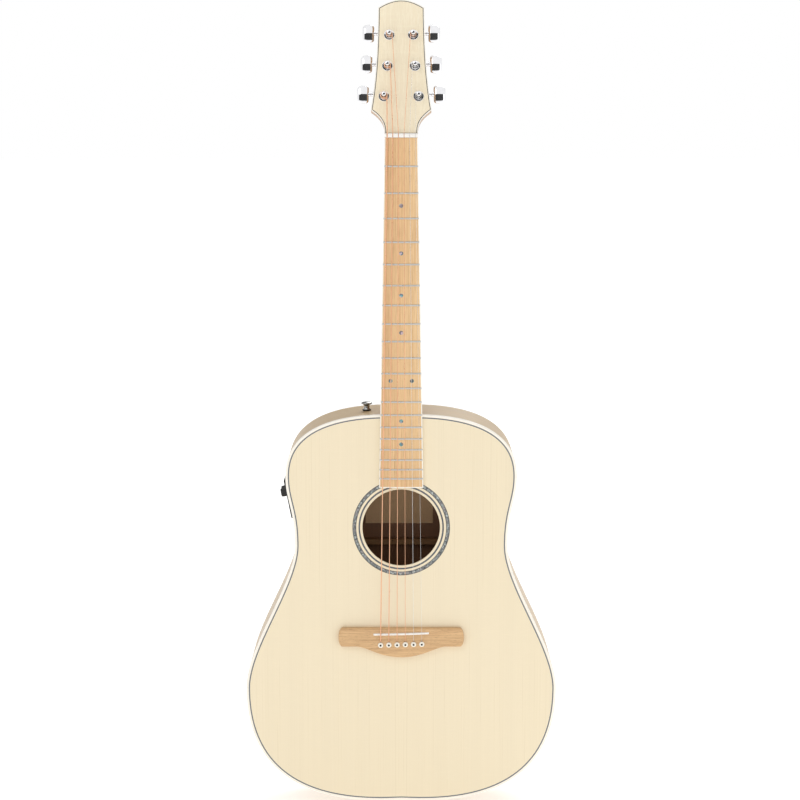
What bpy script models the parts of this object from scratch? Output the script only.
"""Steel-string acoustic guitar with a pickup preamp, as separate solids.

Metres, +Z up towards the headstock. The soundboard faces -Y, and +X is the treble side.
The origin is on the centreline, in the plane where the fingerboard is glued to the neck,
at the nut's end of the fingerboard, which is the zero of the scale. The soundboard's face
lies in the same plane, Y = 0. Tuners and strings are numbered as players number them:
1 is the thinnest string, on the treble side, and 6 the thickest.
"""

import math

import bmesh
import bpy
from mathutils import Matrix, Vector
from mathutils.geometry import interpolate_bezier

GAP = 0.0003                        # left between two pieces that touch
SCALE_LENGTH = 0.650                # nut to saddle, before compensation

# Body: knots of the half outline as (half width, height)
BODY_TOP = -0.361
UPPER_BOUT = (0.153, -0.443)
WAIST = (0.141, -0.536)
LOWER_BOUT = (0.2075, -0.732)
TAIL = -0.887
DEPTH_AT_TOP = 0.100
DEPTH_AT_TAIL = 0.120
PLATE = 0.003                       # thickness of the soundboard, back and ribs
BINDING_HEIGHT = 0.006
LINING_WIDTH = 0.007
LINING_HEIGHT = 0.012
BLOCK_HALF_WIDTH = 0.038
BLOCK_LENGTH = 0.050
OUTLINE_STEPS = 11                  # chords in each of the outline's four curves
LINING_INSET = 0.0034

# Soundhole and rosette
SOUNDHOLE_HEIGHT = -0.512
SOUNDHOLE_RADIUS = 0.0514
ROSETTE_INNER = 0.0536
ROSETTE_OUTER = 0.0646
ROSETTE_DEPTH = 0.0012
CIRCLE_STEPS = 36

# Braces
BRACE_WIDTH = 0.008
X_BRACE_CROSSING = -0.596
X_BRACE_UPPER_REACH = 0.170
X_BRACE_LOWER_REACH = 0.205
X_BRACE_HEIGHT = 0.014
BACK_BRACE_HEIGHTS = (-0.455, -0.551, -0.700)
BACK_BRACE_DEPTH = 0.012

# Bridge
BRIDGE_HALF_WIDTH = 0.0835
BRIDGE_TOP = -0.6468
BRIDGE_SIDE_BOTTOM = -0.6723
BRIDGE_BELLY = -0.6869
BRIDGE_THICKNESS = 0.008
SADDLE_LENGTH = 0.0737
SADDLE_THICKNESS = 0.0028
SADDLE_HEIGHT = -SCALE_LENGTH - 0.0044   # lower than the scale length, so that it plays in tune
SADDLE_TOP = 0.0114                 # above the soundboard, at the centreline
SADDLE_SLANT = 0.0245               # rise per unit of width towards the treble side
PIN_ROW = -0.6690
PIN_SPACING = 0.01096
PIN_HEAD_RADIUS = 0.0037
PIN_SHANK_RADIUS = 0.0026

# Neck and fingerboard
NUT_WIDTH = 0.043
NUT_THICKNESS = 0.0058
NUT_TOP = 0.0088                    # above the fingerboard's glue plane, at the centreline
HEEL_WIDTH = 0.055                  # of the neck where it meets the body
FINGERBOARD_END = -0.4575
FINGERBOARD_THICKNESS = 0.0065
CROWN_RADIUS = 0.400
NECK_DEPTH_AT_NUT = 0.0145
NECK_DEPTH_AT_HEEL = 0.0175
HEEL_START = -0.283
HEEL_CAP_START = -0.337
HEEL_DEPTH = 0.092
HEEL_CAP_HALF_WIDTH = 0.015
TRUSS_ROD_RADIUS = 0.0027
TRUSS_ROD_ENDS = (-0.014, -0.350)

# Headstock, in its own plane: s runs up its face from the nut
HEADSTOCK_TILT = math.radians(14)
HEADSTOCK_THICKNESS = 0.013
VENEER_THICKNESS = 0.002
FLARE_CORNER = (0.0390, 0.0303)
TOP_CORNER = (0.0299, 0.1655)
HEADSTOCK_LENGTH = 0.1763

# Strings, from the thinnest, 1, to the thickest, 6
STRING_DIAMETERS = (0.00030, 0.00041, 0.00061, 0.00081, 0.00107, 0.00135)
SPREAD_AT_NUT = 0.0362
SPREAD_AT_SADDLE = 0.0546
HEIGHT_AT_NUT = 0.0080
STRING_TURNS = 2

# Tuners, the three on one side from the nut upwards: (half distance between posts, s)
POSTS = ((0.0224, 0.0486), (0.0179, 0.0888), (0.0155, 0.1298))
POST_RADIUS = 0.0030
POST_HEIGHT = 0.0145                # above the headstock's face
WINDING_HEIGHT = 0.0078
SLEEVE_RADIUS = 0.0048
GEAR_RADIUS = 0.0046
WORM_RADIUS = 0.0028
SHAFT_RADIUS = 0.0020
SHAFT_RISE = 0.0078                 # the worm shaft lies above the post, up the headstock
SHAFT_DEPTH = 0.0080                # behind the headstock's back
HOUSING_DEPTH = 0.0120
BUTTON_START = 0.0197               # from the post's axis
BUTTON_WIDTH = 0.0152
BUTTON_HALF_LENGTH = 0.0120
BUTTON_HALF_THICKNESS = 0.0040

# Preamp, on the bass rib: up runs along the rib, Y is its depth in the body
PANEL_HEIGHT = -0.478
PANEL_DEPTH = 0.053
PANEL_SIZE = (0.052, 0.062)
PANEL_THICKNESS = 0.0025
PANEL_STANDOFF = 0.0008
PREAMP_DEPTH = 0.034
KNOB_UP = 0.0085
KNOB_PLACES = (-0.0170, 0.0020)     # along Y, from the panel's centre
KNOB_RADIUS = 0.0060
KNOB_HEIGHT = 0.0075
SWITCH_PLACE = 0.0200
SWITCH_RADIUS = 0.0025
SWITCH_HEIGHT = 0.0015
TRAY_UP = -0.0135
TRAY_SIZE = (0.019, 0.052)
TRAY_DEPTH = 0.029

# End pin and strap button
STRAP_BUTTON_PLACE = (-0.046, 0.045)
STRAP_BUTTON_HEIGHT = 0.0115
STRAP_HEAD_RADIUS = 0.0075
JACK_BORE_RADIUS = 0.0033
JACK_BARREL_RADIUS = 0.0058
END_PIN_LENGTH = 0.014


# --- Scene, materials and helpers -------------------------------------------------------

def clear_scene():
    for item in list(bpy.data.objects):
        bpy.data.objects.remove(item)


def new_collection(name):
    group = bpy.data.collections.new(name)
    bpy.context.scene.collection.children.link(group)
    return group


def linear(channel):
    """A colour channel of 0 to 255, as the linear value that the shader takes."""
    value = channel / 255
    return value / 12.92 if value <= 0.04045 else ((value + 0.055) / 1.055) ** 2.4


def new_material(name, colour, roughness, metallic=0.0):
    material = bpy.data.materials.new(name)
    material.use_nodes = True
    shader = material.node_tree.nodes["Principled BSDF"]
    shader.inputs["Base Color"].default_value = [linear(c) for c in colour] + [1.0]
    shader.inputs["Roughness"].default_value = roughness
    shader.inputs["Metallic"].default_value = metallic
    return material


clear_scene()
GUITAR = new_collection("acoustic_guitar")
CUTTERS = new_collection("cutters")

SPRUCE = new_material("spruce", (241, 227, 198), 0.30)
SIDE_WOOD = new_material("side_wood", (210, 192, 162), 0.30)
INNER_WOOD = new_material("inner_wood", (190, 150, 100), 0.70)
NECK_WOOD = new_material("neck_wood", (175, 136, 87), 0.40)
BOARD_WOOD = new_material("board_wood", (218, 172, 125), 0.45)
IVORY = new_material("ivory_plastic", (247, 241, 230), 0.30)
ABALONE = new_material("abalone", (120, 120, 125), 0.25)
STEEL = new_material("steel", (200, 200, 198), 0.30, 1.0)
BRONZE = new_material("bronze", (214, 160, 125), 0.35, 1.0)
CHROME = new_material("chrome", (220, 220, 222), 0.08, 1.0)
BLACK = new_material("black_plastic", (13, 12, 11), 0.40)


def add_object(name, mesh, material, matrix=None):
    """Puts a mesh in the guitar as a named object, placed by its matrix."""
    item = bpy.data.objects.new(name, mesh)
    GUITAR.objects.link(item)
    mesh.materials.clear()
    mesh.materials.append(material)
    if matrix is not None:
        item.matrix_world = matrix
    return item


def mesh_from(build):
    """A new mesh from a bmesh that the function build fills."""
    shape = bmesh.new()
    build(shape)
    bmesh.ops.recalc_face_normals(shape, faces=shape.faces)
    mesh = bpy.data.meshes.new("shape")
    shape.to_mesh(mesh)
    shape.free()
    return mesh


def box_mesh(low, high):
    """A box between two corners."""
    low, high = Vector(low), Vector(high)
    place = Matrix.Translation((low + high) / 2) @ Matrix.Diagonal((high - low).to_4d())
    return mesh_from(lambda shape: bmesh.ops.create_cube(shape, size=1.0, matrix=place))


def rod_mesh(radius, start, end, segments=16, end_radius=None):
    """A round rod, or a cone, between two points."""
    start, end = Vector(start), Vector(end)
    turn = (end - start).to_track_quat("Z", "Y").to_matrix().to_4x4()
    place = Matrix.Translation((start + end) / 2) @ turn

    def build(shape):
        bmesh.ops.create_cone(
            shape, cap_ends=True, segments=segments, radius1=radius,
            radius2=radius if end_radius is None else end_radius,
            depth=(end - start).length, matrix=place)
    return mesh_from(build)


def curve_to_mesh(curve):
    """The welded mesh of a curve's data, and the curve is removed."""
    item = bpy.data.objects.new("curve", curve)
    bpy.context.scene.collection.objects.link(item)
    bpy.context.view_layer.update()
    evaluated = item.evaluated_get(bpy.context.evaluated_depsgraph_get())
    mesh = bpy.data.meshes.new_from_object(evaluated)
    bpy.data.objects.remove(item)
    bpy.data.curves.remove(curve)
    shape = bmesh.new()
    shape.from_mesh(mesh)
    bmesh.ops.remove_doubles(shape, verts=shape.verts, dist=0.000002)
    bmesh.ops.recalc_face_normals(shape, faces=shape.faces)
    shape.to_mesh(mesh)
    shape.free()
    return mesh


def flat_mesh(loops, low, high, matrix):
    """A flat outline with any holes, extruded from low to high along its own Z."""
    curve = bpy.data.curves.new("outline", "CURVE")
    curve.dimensions = "2D"
    curve.fill_mode = "BOTH"
    curve.extrude = (high - low) / 2
    for loop in loops:
        spline = curve.splines.new("POLY")
        spline.points.add(len(loop) - 1)
        spline.use_cyclic_u = True
        for point, (x, y) in zip(spline.points, loop):
            point.co = (x, y, 0, 1)
    mesh = curve_to_mesh(curve)
    mesh.transform(matrix @ Matrix.Translation((0, 0, (low + high) / 2)))
    return mesh


def plate_mesh(loops, front, back):
    """An outline of (X, Z) points as a plate that fills the depths from front to back."""
    return flat_mesh(loops, -back, -front, Matrix.Rotation(math.radians(90), 4, "X"))


def turned_object(name, profile, material, matrix, steps=16, closed=False):
    """A shape turned about its own Z, from (radius, height) points, top to bottom."""
    mesh = bpy.data.meshes.new(name)
    count = len(profile)
    edges = [(i, i + 1) for i in range(count - 1)]
    if closed:
        edges.append((count - 1, 0))
    mesh.from_pydata([(r, 0, z) for r, z in profile], edges, [])
    item = add_object(name, mesh, material, matrix)
    screw = item.modifiers.new("Screw", "SCREW")
    screw.steps = steps
    screw.render_steps = steps
    screw.use_merge_vertices = True
    screw.merge_threshold = 0.00001
    screw.use_smooth_shade = True
    return item


def loft_mesh(sections):
    """A closed skin through sections that have the same number of points."""
    def build(shape):
        rings = [[shape.verts.new(point) for point in section] for section in sections]
        for ring, after in zip(rings, rings[1:]):
            for i in range(len(ring)):
                j = (i + 1) % len(ring)
                shape.faces.new((ring[i], ring[j], after[j], after[i]))
        shape.faces.new(rings[0])
        shape.faces.new(rings[-1])
    return mesh_from(build)


def add_bevel(item, width, segments=2):
    bevel = item.modifiers.new("Bevel", "BEVEL")
    bevel.width = width
    bevel.segments = segments
    bevel.limit_method = "ANGLE"
    bevel.angle_limit = math.radians(40)
    return bevel


def join_or_cut(item, mesh, operation, matrix=None):
    """Adds a Boolean with a hidden tool made from the mesh."""
    tool = bpy.data.objects.new(item.name + "_tool", mesh)
    CUTTERS.objects.link(tool)
    if matrix is not None:
        tool.matrix_world = matrix
    tool.display_type = "WIRE"
    tool.hide_render = True
    boolean = item.modifiers.new("Boolean", "BOOLEAN")
    boolean.operation = operation
    boolean.solver = "EXACT"
    boolean.object = tool


def cut(item, mesh, matrix=None):
    join_or_cut(item, mesh, "DIFFERENCE", matrix)


def join(item, mesh, matrix=None):
    join_or_cut(item, mesh, "UNION", matrix)


# --- The body's outline -----------------------------------------------------------------

def half_outline(inset, steps=OUTLINE_STEPS):
    """The treble half of the outline, from the neck joint to the tail, moved inwards."""
    curves = (
        ((0, BODY_TOP), (0.021, BODY_TOP), (UPPER_BOUT[0], -0.353), UPPER_BOUT),
        (UPPER_BOUT, (UPPER_BOUT[0], -0.476), (WAIST[0], -0.487), WAIST),
        (WAIST, (WAIST[0], -0.589), (LOWER_BOUT[0], -0.675), LOWER_BOUT),
        (LOWER_BOUT, (LOWER_BOUT[0], -0.906), (0.031, TAIL), (0, TAIL)),
    )
    line = []
    for knot, handle_out, handle_in, next_knot in curves:
        points = interpolate_bezier(knot, handle_out, handle_in, next_knot, steps + 1)
        line.extend(points[:-1])
    line.append(Vector((0, TAIL)))
    moved = []
    for i, point in enumerate(line):
        before = line[i - 1] if i else Vector((-line[1].x, line[1].y))
        after = line[i + 1] if i + 1 < len(line) else Vector((-line[-2].x, line[-2].y))
        along = (after - before).normalized()
        moved.append((point.x + along.y * inset, point.y - along.x * inset))
    return moved


def full_outline(inset, steps=OUTLINE_STEPS):
    half = half_outline(inset, steps)
    return half + [(-x, z) for x, z in half[-2:0:-1]]


def half_width_at(height, inset):
    """The outline's half width at a height between the neck joint and the tail."""
    line = half_outline(inset)
    for (x0, z0), (x1, z1) in zip(line, line[1:]):
        if z0 >= height >= z1:
            return x0 + (x1 - x0) * (z0 - height) / (z0 - z1)
    return 0.0


def back_depth(height):
    """How deep the body is at a height: it grows evenly from the neck to the tail."""
    share = (BODY_TOP - height) / (BODY_TOP - TAIL)
    return DEPTH_AT_TOP + (DEPTH_AT_TAIL - DEPTH_AT_TOP) * share


def slope_back(mesh, behind):
    """Moves what lies behind a depth onto the body's sloping back."""
    for vertex in mesh.vertices:
        if vertex.co.y > behind:
            vertex.co.y += back_depth(vertex.co.z) - DEPTH_AT_TOP
    return mesh


def circle(radius, centre, count):
    turns = (2 * math.pi * i / count for i in range(count))
    return [(centre[0] + radius * math.cos(a), centre[1] + radius * math.sin(a)) for a in turns]


# --- Body -------------------------------------------------------------------------------

def pin_place(number):
    """A bridge pin's (X, Z): the row has the saddle's slant."""
    x = (3.5 - number) * PIN_SPACING
    return x, PIN_ROW + SADDLE_SLANT * x


def cut_pin_holes(item):
    for number in range(1, 7):
        x, z = pin_place(number)
        cut(item, rod_mesh(PIN_SHANK_RADIUS + GAP, (x, -0.02, z), (x, 0.02, z), 12))


def make_plates():
    inset = PLATE + GAP
    hole = circle(SOUNDHOLE_RADIUS, (0, SOUNDHOLE_HEIGHT), CIRCLE_STEPS)
    mesh = plate_mesh([full_outline(inset), hole], 0, PLATE)
    soundboard = add_object("soundboard", mesh, SPRUCE)
    groove = [circle(radius, (0, SOUNDHOLE_HEIGHT), CIRCLE_STEPS)
              for radius in (ROSETTE_OUTER, ROSETTE_INNER)]
    cut(soundboard, plate_mesh(groove, -0.001, ROSETTE_DEPTH))
    cut_pin_holes(soundboard)
    rings = (ROSETTE_OUTER - GAP, ROSETTE_INNER + GAP)
    ring = [circle(radius, (0, SOUNDHOLE_HEIGHT), CIRCLE_STEPS) for radius in rings]
    add_object("rosette", plate_mesh(ring, 0, ROSETTE_DEPTH - GAP), ABALONE)
    back = plate_mesh([full_outline(inset)], DEPTH_AT_TOP - PLATE, DEPTH_AT_TOP)
    add_object("back_plate", slope_back(back, 0), SIDE_WOOD)


def make_ribs():
    outer = half_outline(0)
    inner = half_outline(PLATE)
    front = BINDING_HEIGHT + GAP
    back = DEPTH_AT_TOP - BINDING_HEIGHT - GAP
    seam = GAP / 2
    ribs = []
    for name, side in (("rib_treble", 1), ("rib_bass", -1)):
        loop = [(side * max(x, seam), z) for x, z in outer + inner[::-1]]
        mesh = slope_back(plate_mesh([loop], front, back), DEPTH_AT_TOP / 2)
        ribs.append(add_object(name, mesh, SIDE_WOOD))
    return ribs


def make_bindings():
    ring = [full_outline(0), full_outline(PLATE)]
    add_object("top_binding", plate_mesh(ring, 0, BINDING_HEIGHT), IVORY)
    back = plate_mesh(ring, DEPTH_AT_TOP - BINDING_HEIGHT, DEPTH_AT_TOP)
    add_object("back_binding", slope_back(back, 0), IVORY)


def make_linings():
    inner = full_outline(LINING_INSET + LINING_WIDTH)
    ring = [full_outline(LINING_INSET), inner]
    front = PLATE + GAP
    add_object("lining_front", plate_mesh(ring, front, front + LINING_HEIGHT), INNER_WOOD)
    back = DEPTH_AT_TOP - PLATE - GAP
    mesh = plate_mesh(ring, back - LINING_HEIGHT, back)
    add_object("lining_back", slope_back(mesh, 0), INNER_WOOD)


def make_block(name, end, inwards):
    """A block at an end of the body, rebated front and back for the linings."""
    clear = 0.0006                  # the ribs curve away a little across the block
    outer = end + inwards * (PLATE + GAP + clear)
    rebate = end + inwards * (LINING_INSET + LINING_WIDTH + GAP + clear)
    inner = outer + inwards * BLOCK_LENGTH
    front = PLATE + GAP
    back = DEPTH_AT_TOP - PLATE - GAP
    half, step, past = BLOCK_HALF_WIDTH, LINING_HEIGHT + GAP, 0.005
    mesh = box_mesh((-half, front, min(outer, inner)), (half, back, max(outer, inner)))
    block = add_object(name, slope_back(mesh, DEPTH_AT_TOP / 2), INNER_WOOD)
    low, high = sorted((rebate, outer - inwards * past))
    wide = half + past
    cut(block, box_mesh((-wide, front - past, low), (wide, front + step, high)))
    behind = box_mesh((-wide, back - step, low), (wide, back + past, high))
    cut(block, slope_back(behind, 0))
    return block


def make_braces():
    half = BRACE_WIDTH / 2
    up, down = X_BRACE_UPPER_REACH, X_BRACE_LOWER_REACH
    cross = (
        (half, half), (up, half), (up, -half), (half, -half), (half, -down), (-half, -down),
        (-half, -half), (-down, -half), (-down, half), (-half, half), (-half, up), (half, up),
    )
    turn = math.radians(45)
    loop = [(x * math.cos(turn) - y * math.sin(turn),
             X_BRACE_CROSSING + x * math.sin(turn) + y * math.cos(turn)) for x, y in cross]
    front = PLATE + GAP
    add_object("x_brace", plate_mesh([loop], front, front + X_BRACE_HEIGHT), INNER_WOOD)

    leg = half / math.cos(turn) + 0.001
    top, bottom = BRIDGE_TOP - 0.003, BRIDGE_BELLY - 0.003
    wide = [(X_BRACE_CROSSING - z - leg, z) for z in (top, bottom)]
    loop = wide + [(-x, z) for x, z in wide[::-1]]
    bridge_plate = add_object("bridge_plate", plate_mesh([loop], front, front + 0.0025), INNER_WOOD)
    cut_pin_holes(bridge_plate)

    tilt = math.atan((DEPTH_AT_TAIL - DEPTH_AT_TOP) / (BODY_TOP - TAIL))
    for number, height in enumerate(BACK_BRACE_HEIGHTS, 1):
        reach = half_width_at(height, LINING_INSET + LINING_WIDTH) - 0.003
        mesh = box_mesh((-reach, -BACK_BRACE_DEPTH, -half), (reach, 0, half))
        centre = (0, back_depth(height) - PLATE - GAP, height)
        place = Matrix.Translation(centre) @ Matrix.Rotation(tilt, 4, "X")
        add_bevel(add_object(f"back_brace_{number}", mesh, INNER_WOOD, place), 0.001, 1)


# --- Bridge -----------------------------------------------------------------------------

def bridge_outline():
    """The belly bridge's outline: straight above, bowed ends, and a belly below."""
    end, side_middle = BRIDGE_HALF_WIDTH, (BRIDGE_TOP + BRIDGE_SIDE_BOTTOM) / 2
    half = interpolate_bezier((end - 0.0055, BRIDGE_TOP - 0.0003), (end - 0.002, BRIDGE_TOP - 0.0015),
                               (end, side_middle + 0.006), (end, side_middle), 6)
    half += interpolate_bezier((end, side_middle), (end, side_middle - 0.006),
                               (end - 0.0015, BRIDGE_SIDE_BOTTOM + 0.0005),
                               (end - 0.005, BRIDGE_SIDE_BOTTOM), 6)[1:]
    half += interpolate_bezier((0.060, BRIDGE_SIDE_BOTTOM), (0.046, BRIDGE_SIDE_BOTTOM),
                               (0.030, BRIDGE_BELLY), (0, BRIDGE_BELLY), 9)
    return [tuple(p) for p in half] + [(-p.x, p.y) for p in half[-2::-1]]


def crown_line(half_width, top, count):
    """Points of the crown from left to right, as (X, Y), with the middle at Y = -top."""
    xs = [half_width * (2 * i / (count - 1) - 1) for i in range(count)]
    return [(x, -top + x * x / (2 * CROWN_RADIUS)) for x in xs]


def make_bridge():
    mesh = plate_mesh([bridge_outline()], -GAP - BRIDGE_THICKNESS, -GAP)
    bridge = add_object("bridge", mesh, BOARD_WOOD)
    saddle_bottom = GAP + BRIDGE_THICKNESS - 0.005
    slant = Matrix.Rotation(-math.atan(SADDLE_SLANT), 4, "Y")
    place = Matrix.Translation((0, 0, SADDLE_HEIGHT)) @ slant
    half = SADDLE_THICKNESS / 2
    sections = []
    for x, y in crown_line(SADDLE_LENGTH / 2, SADDLE_TOP, 9):
        section = [(x, -saddle_bottom, -half), (x, -saddle_bottom, half)]
        for step in range(5):
            angle = math.pi * step / 4
            section.append((x, y + half * (1 - math.sin(angle)), half * math.cos(angle)))
        sections.append(section)
    add_object("saddle", loft_mesh(sections), IVORY, place)
    reach, wall = SADDLE_LENGTH / 2 + GAP, half + GAP
    slot = box_mesh((-reach, -0.02, -wall), (reach, -saddle_bottom + GAP, wall))
    cut(bridge, slot, place)
    cut_pin_holes(bridge)
    seat = GAP + BRIDGE_THICKNESS + GAP
    profile = (
        (0, 0.0030), (0.0016, 0.0028), (0.0029, 0.0021), (PIN_HEAD_RADIUS, 0.0008),
        (PIN_HEAD_RADIUS - 0.0002, 0), (PIN_SHANK_RADIUS, 0), (0.0021, -0.0240), (0, -0.0245),
    )
    facing_front = Matrix.Rotation(math.radians(90), 4, "X")
    for number in range(1, 7):
        x, z = pin_place(number)
        place = Matrix.Translation((x, -seat, z)) @ facing_front
        turned_object(f"bridge_pin_{number}", profile, IVORY, place, 12)


# --- Neck -------------------------------------------------------------------------------

def neck_half_width(height):
    rate = (HEEL_WIDTH - NUT_WIDTH) / 2 / -BODY_TOP
    return NUT_WIDTH / 2 - rate * height


def neck_section(height, depth, cap_half_width, squareness, front=0.0):
    """A neck section: flat under the fingerboard and rounded behind, 17 points."""
    half = neck_half_width(min(height, 0))
    points = []
    for i in range(17):
        angle = math.pi * i / 16
        across = math.copysign(abs(math.cos(angle)) ** squareness, math.cos(angle))
        deep = math.sin(angle) ** 0.9
        width = half + (cap_half_width - half) * deep ** 0.8
        points.append((width * across, front + (depth - front) * deep, height))
    return points


def shaft_depth(height):
    share = height / HEEL_START
    return NECK_DEPTH_AT_NUT + (NECK_DEPTH_AT_HEEL - NECK_DEPTH_AT_NUT) * min(max(share, 0), 1)


def neck_sections():
    in_headstock = 0.0135
    sections = [neck_section(in_headstock, 0.0150, 0.0210, 0.30, front=0.0026),
                neck_section(NUT_THICKNESS - 0.0008, 0.0148, 0.0212, 0.34),
                neck_section(-0.006, NECK_DEPTH_AT_NUT, 0.0205, 0.50),
                neck_section(-0.020, NECK_DEPTH_AT_NUT, 0.0200, 0.68)]
    shaft_start = -0.040
    for step in range(5):
        height = shaft_start + (HEEL_START - shaft_start) * step / 4
        sections.append(neck_section(height, shaft_depth(height), 0.0200, 0.75))
    for step in range(1, 9):
        share = math.sin(math.radians(90) * step / 8)
        height = HEEL_START + (HEEL_CAP_START - HEEL_START) * share
        swell = 1 - math.sqrt(max(0, 1 - share * share))
        depth = NECK_DEPTH_AT_HEEL + (HEEL_DEPTH - NECK_DEPTH_AT_HEEL) * swell
        cap = 0.020 + (0.011 - 0.020) * swell
        sections.append(neck_section(height, depth, cap, 0.75 - 0.30 * swell))
    end = BODY_TOP + GAP
    for share in (0.5, 1.0):
        height = HEEL_CAP_START + (end - HEEL_CAP_START) * share
        cap = 0.011 + (HEEL_CAP_HALF_WIDTH - 0.011) * share
        sections.append(neck_section(height, HEEL_DEPTH, cap, 0.45))
    return sections


def headstock_frame():
    """The headstock's frame: X across, Y up its face, and Z out of its face."""
    up = Vector((0, math.sin(HEADSTOCK_TILT), math.cos(HEADSTOCK_TILT)))
    out = Vector((0, -math.cos(HEADSTOCK_TILT), math.sin(HEADSTOCK_TILT)))
    frame = Matrix((Vector((1, 0, 0)), up, out)).transposed().to_4x4()
    frame.translation = Vector((0, -VENEER_THICKNESS, NUT_THICKNESS))
    return frame


HEAD = headstock_frame()


def headstock_outline(start):
    """The headstock's outline from its start at the nut, over the flare, to its top."""
    half = [Vector((NUT_WIDTH / 2, start))]
    half += interpolate_bezier((0.0216, 0.003), (0.0219, 0.0165), (0.0302, 0.0240), FLARE_CORNER, 8)
    half += interpolate_bezier((FLARE_CORNER[0], 0.0325), (0.0348, 0.057), (0.0303, 0.095),
                               TOP_CORNER, 8)
    half += interpolate_bezier((TOP_CORNER[0] - 0.001, TOP_CORNER[1] + 0.001), (0.0200, 0.1722),
                               (0.0100, HEADSTOCK_LENGTH), (0, HEADSTOCK_LENGTH), 6)
    return [tuple(p) for p in half] + [(-p.x, p.y) for p in half[-2::-1]]


def make_neck():
    neck = add_object("neck", loft_mesh(neck_sections()), NECK_WOOD)
    back = -VENEER_THICKNESS - HEADSTOCK_THICKNESS
    plate = flat_mesh([headstock_outline(-0.0009)], back, -VENEER_THICKNESS - GAP, HEAD)
    join(neck, plate)
    start, end = TRUSS_ROD_ENDS
    wall = TRUSS_ROD_RADIUS + GAP
    depth = 2 * TRUSS_ROD_RADIUS + 2 * GAP + 0.001
    cut(neck, box_mesh((-wall, -0.01, end - GAP), (wall, depth, start + GAP)))
    rod = rod_mesh(TRUSS_ROD_RADIUS, (0, depth - wall, start), (0, depth - wall, end), 12)
    add_object("truss_rod", rod, STEEL)
    veneer_mesh = flat_mesh([headstock_outline(0.0006)], -VENEER_THICKNESS, 0, HEAD)
    veneer = add_object("headstock_veneer", veneer_mesh, SPRUCE)
    return neck, veneer


def make_fingerboard():
    sections = []
    for height in (0, FINGERBOARD_END):
        half = neck_half_width(height)
        line = crown_line(half, FINGERBOARD_THICKNESS, 11)
        section = [(x, y, height) for x, y in line]
        sections.append(section + [(half, -GAP, height), (-half, -GAP, height)])
    add_object("fingerboard", loft_mesh(sections), BOARD_WOOD)


def string_radius(number):
    return STRING_DIAMETERS[number - 1] / 2


def string_at_nut(number):
    """The centre of a string in its nut slot: (X, Y)."""
    x = (3.5 - number) * SPREAD_AT_NUT / 5
    return x, -HEIGHT_AT_NUT - string_radius(number) + x * x / (2 * CROWN_RADIUS)


def make_nut():
    half = NUT_WIDTH / 2
    loop = crown_line(half, NUT_TOP, 9) + [(half, -GAP), (-half, -GAP)]
    nut = add_object("nut", flat_mesh([loop], GAP, NUT_THICKNESS, Matrix()), IVORY)
    add_bevel(nut, 0.0004, 1)
    for number in range(1, 7):
        x, y = string_at_nut(number)
        wall = string_radius(number) + GAP
        cut(nut, box_mesh((x - wall, -0.02, -0.01), (x + wall, y + wall, 0.02)))


# --- Strings ----------------------------------------------------------------------------

def post_place(number):
    """A post's place on the headstock's face, (X, s), and its side: 1 treble, -1 bass."""
    side = 1 if number <= 3 else -1
    order = number - 1 if number <= 3 else 6 - number
    distance, s = POSTS[order]
    return side * distance, s, side


def string_route(number):
    """A string's points, from its bridge pin over the saddle and nut to its post."""
    radius = string_radius(number)
    pin_x, pin_z = pin_place(number)
    bridge_face = GAP + BRIDGE_THICKNESS
    end_z = pin_z + PIN_HEAD_RADIUS + 2 * GAP + radius
    saddle_x = (3.5 - number) * SPREAD_AT_SADDLE / 5
    saddle_z = SADDLE_HEIGHT + SADDLE_SLANT * saddle_x
    saddle_y = -SADDLE_TOP - GAP - radius + saddle_x * saddle_x / (2 * CROWN_RADIUS)
    nut_x, nut_y = string_at_nut(number)
    route = [Vector((pin_x, -bridge_face - 2 * GAP - radius, end_z)),
             Vector((saddle_x, saddle_y, saddle_z)),
             Vector((nut_x, nut_y, -0.001)),
             Vector((nut_x, nut_y, NUT_THICKNESS + 0.0005))]
    return route + winding(number, HEAD.inverted() @ route[-1], radius)


def winding(number, from_nut, radius):
    """The turns round the post, starting where the string touches its inner side."""
    post_x, post_s, side = post_place(number)
    around = POST_RADIUS + GAP + radius
    offset = Vector((from_nut.x - post_x, from_nut.y - post_s))
    first = math.atan2(offset.y, offset.x) - side * math.acos(around / offset.length)
    pitch = 2 * radius + 0.00015
    per_turn = 8
    points = []
    for step in range(STRING_TURNS * per_turn + 1):
        turn = step / per_turn
        angle = first - side * 2 * math.pi * turn
        height = WINDING_HEIGHT - pitch * turn
        points.append(HEAD @ Vector((post_x + around * math.cos(angle),
                                     post_s + around * math.sin(angle), height)))
    return points


def make_strings():
    for number in range(1, 7):
        curve = bpy.data.curves.new("string", "CURVE")
        curve.dimensions = "3D"
        curve.bevel_depth = string_radius(number)
        curve.bevel_resolution = 1
        curve.use_fill_caps = True
        spline = curve.splines.new("POLY")
        route = string_route(number)
        spline.points.add(len(route) - 1)
        for point, place in zip(spline.points, route):
            point.co = place.to_4d()
        add_object(f"string_{number}", curve_to_mesh(curve), BRONZE if number > 2 else STEEL)


# --- Tuners -----------------------------------------------------------------------------

def tuner_frame(number):
    """A tuner's frame on the headstock's back: Z is the post's axis, towards the face."""
    x, s, side = post_place(number)
    back = -VENEER_THICKNESS - HEADSTOCK_THICKNESS
    return HEAD @ Matrix.Translation((x, s, back)), side


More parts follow.
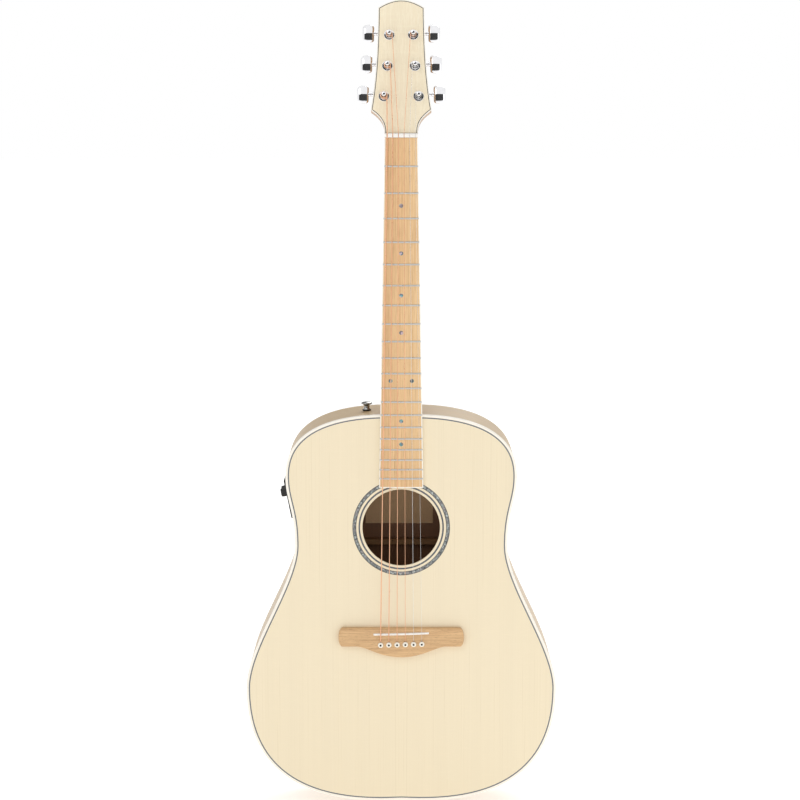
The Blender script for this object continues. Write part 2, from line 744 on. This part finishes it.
def make_tuner(number, neck, veneer):
    frame, side = tuner_frame(number)
    thickness = VENEER_THICKNESS + HEADSTOCK_THICKNESS
    hole = SLEEVE_RADIUS + GAP
    for piece in (neck, veneer):
        cut(piece, rod_mesh(hole, (0, 0, -0.005), (0, 0, thickness + 0.005), 12), frame)

    low, high = sorted((side * -0.0085, side * 0.0105))
    case = box_mesh((low, -0.0070, -HOUSING_DEPTH), (high, 0.0130, -GAP))
    housing = add_object(f"tuner_housing_{number}", case, CHROME, frame)
    shaft_line = [Vector((side * u, SHAFT_RISE, -SHAFT_DEPTH)) for u in (0.0085, 0.0165)]
    join(housing, rod_mesh(0.0036, *shaft_line, 12), frame)
    sleeve = rod_mesh(SLEEVE_RADIUS, (0, 0, -0.002), (0, 0, thickness + 0.0006), 12)
    join(housing, sleeve, frame)
    low, high = sorted((side * -0.0066, side * 0.0086))
    chamber = box_mesh((low, -0.0054, -0.02), (high, 0.0112, -0.0040))
    cut(housing, chamber, frame)
    cut(housing, rod_mesh(POST_RADIUS + 2 * GAP, (0, 0, -0.01), (0, 0, 0.03), 12), frame)
    bore = [Vector((side * u, SHAFT_RISE, -SHAFT_DEPTH)) for u in (0.0060, 0.0200)]
    cut(housing, rod_mesh(SHAFT_RADIUS + GAP, *bore, 12), frame)

    top = thickness + POST_HEIGHT
    profile = (
        (0, top), (0.0020, top - 0.0002), (POST_RADIUS, top - 0.0010), (POST_RADIUS, top - 0.0030),
        (POST_RADIUS - 0.0004, top - 0.0052), (POST_RADIUS - 0.0004, thickness + 0.0032),
        (POST_RADIUS, thickness + 0.0025), (POST_RADIUS, -0.0055), (GEAR_RADIUS, -0.0055),
        (GEAR_RADIUS, -0.0105), (0, -0.0105),
    )
    turned_object(f"tuner_post_{number}", profile, CHROME, frame, 12)
    make_button(number, frame, side)


def make_button(number, frame, side):
    """A button with its collar, shaft and worm. Its own Z is the shaft, outwards."""
    out = Matrix.Rotation(math.radians(90 * side), 4, "Y")
    place = frame @ Matrix.Translation((0, SHAFT_RISE, -SHAFT_DEPTH)) @ out
    # In this frame Y still runs up the headstock, and X is the button's thickness
    start, end = BUTTON_START, BUTTON_START + BUTTON_WIDTH
    length, thick = BUTTON_HALF_LENGTH, BUTTON_HALF_THICKNESS
    shape = (  # distance from the post, half length and half thickness there
        (start, 0.0105, 0.0026), (start + 0.0030, length, thick - 0.0004),
        (start + 0.0085, length, thick), (end - 0.0028, 0.0098, thick - 0.0006),
        (end, 0.0060, 0.0022),
    )
    sections = []
    for z, half_length, half_thick in shape:
        ring = []
        for i in range(10):
            angle = 2 * math.pi * i / 10
            ring.append((half_thick * math.cos(angle), half_length * math.sin(angle), z))
        sections.append(ring)
    button = add_object(f"tuner_button_{number}", loft_mesh(sections), CHROME, place)
    profile = (
        (0.0032, start + 0.001), (0.0032, 0.0168), (SHAFT_RADIUS, 0.0168), (SHAFT_RADIUS, 0.0045),
        (WORM_RADIUS, 0.0045), (WORM_RADIUS, -0.0045), (SHAFT_RADIUS, -0.0045),
        (SHAFT_RADIUS, -0.0062),
    )
    rings = [[(r * math.cos(a), r * math.sin(a), z) for a in
              (2 * math.pi * i / 10 for i in range(10))] for r, z in profile]
    join(button, loft_mesh(rings), place)


# --- Preamp -----------------------------------------------------------------------------

def panel_frame():
    """The panel's frame on the bass rib: X up the rib, Y into the body's depth, Z out."""
    line = half_outline(0)
    near = [p for p in line if abs(p[1] - PANEL_HEIGHT) < PANEL_SIZE[0] / 2]
    (x0, z0), (x1, z1) = near[0], near[-1]
    up = Vector((x1 - x0, 0, z0 - z1)).normalized()
    deep = Vector((0, 1, 0))
    frame = Matrix((up, deep, up.cross(deep))).transposed().to_4x4()
    x = -half_width_at(PANEL_HEIGHT, 0)
    frame.translation = Vector((x, PANEL_DEPTH, PANEL_HEIGHT))
    return frame @ Matrix.Translation((0, 0, PANEL_STANDOFF))


def make_preamp(rib):
    frame = panel_frame()
    up, wide = PANEL_SIZE[0] / 2, PANEL_SIZE[1] / 2
    panel = add_object("preamp_panel", box_mesh((-up, -wide, 0), (up, wide, PANEL_THICKNESS)),
                       BLACK, frame)
    add_bevel(panel, 0.0005, 1)
    inner_up, inner_wide = up - 0.0025, wide - 0.0025
    inner = box_mesh((-inner_up, -inner_wide, -PREAMP_DEPTH), (inner_up, inner_wide, 0.0005))
    join(panel, inner, frame)
    opening = box_mesh((-inner_up - GAP, -inner_wide - GAP, -0.02),
                       (inner_up + GAP, inner_wide + GAP, 0.02))
    cut(rib, opening, frame)

    for name, place in zip(("volume_knob", "tone_knob"), KNOB_PLACES):
        spot = frame @ Matrix.Translation((KNOB_UP, place, 0))
        cut(panel, rod_mesh(0.0033, (0, 0, -0.0095), (0, 0, 0.01), 14), spot)
        base = PANEL_THICKNESS + GAP
        profile = (
            (0, base + KNOB_HEIGHT), (KNOB_RADIUS - 0.0012, base + KNOB_HEIGHT),
            (KNOB_RADIUS - 0.0004, base + KNOB_HEIGHT - 0.0008), (KNOB_RADIUS, base),
            (0.0030, base), (0.0030, -0.0090), (0, -0.0090),
        )
        turned_object(name, profile, BLACK, spot, 20)

    spot = frame @ Matrix.Translation((KNOB_UP, SWITCH_PLACE, 0))
    cut(panel, rod_mesh(SWITCH_RADIUS + GAP, (0, 0, -0.0095), (0, 0, 0.01), 14), spot)
    top = PANEL_THICKNESS + SWITCH_HEIGHT
    profile = ((0, top), (SWITCH_RADIUS - 0.0004, top), (SWITCH_RADIUS, top - 0.0004),
               (SWITCH_RADIUS, -0.0050), (0, -0.0050))
    turned_object("tuner_switch", profile, BLACK, spot, 14)

    half_up, half_wide = TRAY_SIZE[0] / 2, TRAY_SIZE[1] / 2
    spot = frame @ Matrix.Translation((TRAY_UP, 0, 0))
    bay = box_mesh((-half_up - GAP, -half_wide - GAP, -TRAY_DEPTH - GAP),
                   (half_up + GAP, half_wide + GAP, 0.01))
    cut(panel, bay, spot)
    tray_mesh = box_mesh((-half_up, -half_wide, -TRAY_DEPTH), (half_up, half_wide, PANEL_THICKNESS))
    tray = add_object("battery_tray", tray_mesh, BLACK, spot)
    add_bevel(tray, 0.0004, 1)
    cut(tray, rod_mesh(0.0060, (half_up + 0.0022, 0, 0.0045), (half_up - 0.010, 0, 0.0045), 16), spot)


# --- Strap button and end pin -----------------------------------------------------------

def strap_profile(length, radius):
    """A strap button from its head down to its foot: wide, waisted, and wide again."""
    return [
        (radius - 0.0006, length), (radius, length - 0.0010), (radius - 0.0006, length - 0.0024),
        (0.0042, length - 0.0042), (0.0040, 0.0034), (0.0060, 0.0012), (0.0060, 0),
    ]


def make_strap_button(rib):
    x, depth = STRAP_BUTTON_PLACE
    line = [(p, z) for p, z in half_outline(0) if z > UPPER_BOUT[1]]
    seat = max(z0 + (z1 - z0) * (-x - x0) / (x1 - x0)
               for (x0, z0), (x1, z1) in zip(line, line[1:]) if x0 <= -x <= x1)
    place = Matrix.Translation((x, depth, seat + 0.0009))
    profile = [(0, STRAP_BUTTON_HEIGHT)] + strap_profile(STRAP_BUTTON_HEIGHT, STRAP_HEAD_RADIUS)
    profile += [(0.0016, 0), (0.0016, -0.012), (0, -0.0135)]
    turned_object("strap_button", profile, CHROME, place, 20)
    cut(rib, rod_mesh(0.0019, (0, 0, 0.004), (0, 0, -0.020), 12), place)


def end_pin_depth():
    return back_depth(TAIL) / 2


def make_end_pin(ribs, tail_block):
    """The end pin: a strap button outside, and a threaded barrel with a bore inside."""
    depth = end_pin_depth()
    downwards = Matrix.Rotation(math.radians(180), 4, "X")
    place = Matrix.Translation((0, depth, TAIL - 0.0006)) @ downwards
    length = END_PIN_LENGTH
    barrel_end = -(BLOCK_LENGTH + 0.012)
    profile = strap_profile(length, STRAP_HEAD_RADIUS)
    profile += [(JACK_BARREL_RADIUS, 0), (JACK_BARREL_RADIUS, barrel_end)]
    profile += [(JACK_BORE_RADIUS, barrel_end), (JACK_BORE_RADIUS, length)]
    turned_object("end_pin_jack", profile, CHROME, place, 20, closed=True)
    for piece in ribs + [tail_block]:
        cut(piece, rod_mesh(JACK_BARREL_RADIUS + GAP, (0, 0, -0.09), (0, 0, 0.01), 20), place)


def smooth_round_pieces():
    """Shades the pieces smooth where their faces meet at a low angle."""
    for item in GUITAR.objects:
        item.data.shade_smooth()
        item.data.set_sharp_from_angle(angle=math.radians(35))


def main():
    make_plates()
    rib_treble, rib_bass = make_ribs()
    make_bindings()
    make_linings()
    make_block("neck_block", BODY_TOP, -1)
    tail_block = make_block("tail_block", TAIL, 1)
    make_braces()
    make_bridge()
    neck, veneer = make_neck()
    make_fingerboard()
    make_nut()
    make_strings()
    for number in range(1, 7):
        make_tuner(number, neck, veneer)
    make_preamp(rib_bass)
    make_strap_button(rib_bass)
    make_end_pin([rib_treble, rib_bass], tail_block)
    smooth_round_pieces()


main()
